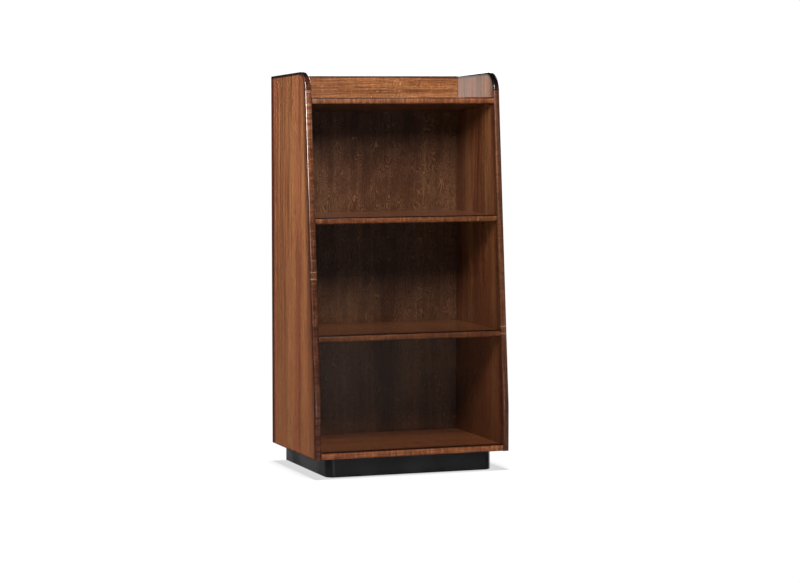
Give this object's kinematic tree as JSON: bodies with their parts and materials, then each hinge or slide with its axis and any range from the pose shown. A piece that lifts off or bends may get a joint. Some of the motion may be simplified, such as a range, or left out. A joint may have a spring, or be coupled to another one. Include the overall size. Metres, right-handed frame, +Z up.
{
  "type": "photo album stand",
  "caption": "Free-standing open walnut cabinet with slanted front edges, rounded upper corners, fixed shelves, a shallow top tray and a recessed black plinth, for storing photo albums.",
  "frame": {"origin": "centre of the footprint, on the floor under the plinth", "axes": "+X along the width, to the right for someone facing the open front; +Y from the open front to the back; +Z up"},
  "size_m": [0.61, 0.422, 1.1871],
  "materials": {
    "walnut_veneer": "satin oil over walnut veneer",
    "walnut_edge": "satin oil over solid walnut",
    "back_veneer": "matt stained veneer",
    "black_plinth": "satin black paint",
    "batten_pine": "bare softwood",
    "dowel_beech": "bare beech",
    "screw_steel": "zinc plated"
  },
  "bodies": {
    "root": {"side_left": "walnut_veneer", "side_right": "walnut_veneer", "bottom_panel": "walnut_veneer", "lower_shelf": "walnut_veneer", "upper_shelf": "walnut_veneer", "top_shelf": "walnut_veneer", "edge_left_foot": "walnut_edge", "edge_left_lower": "walnut_edge", "edge_left_upper": "walnut_edge", "edge_right_foot": "walnut_edge", "edge_right_lower": "walnut_edge", "edge_right_upper": "walnut_edge", "bottom_edge": "walnut_edge", "lower_shelf_edge": "walnut_edge", "upper_shelf_edge": "walnut_edge", "top_shelf_edge": "walnut_edge", "top_rail": "walnut_edge", "back_panel": "back_veneer", "plinth_front_board": "black_plinth", "plinth_back_board": "black_plinth", "plinth_left_board": "black_plinth", "plinth_right_board": "black_plinth", "plinth_post_left": "black_plinth", "plinth_post_right": "black_plinth", "batten_left": "batten_pine", "batten_right": "batten_pine", "dowels": "dowel_beech", "batten_screws": "screw_steel"}
  },
  "joints": []
}
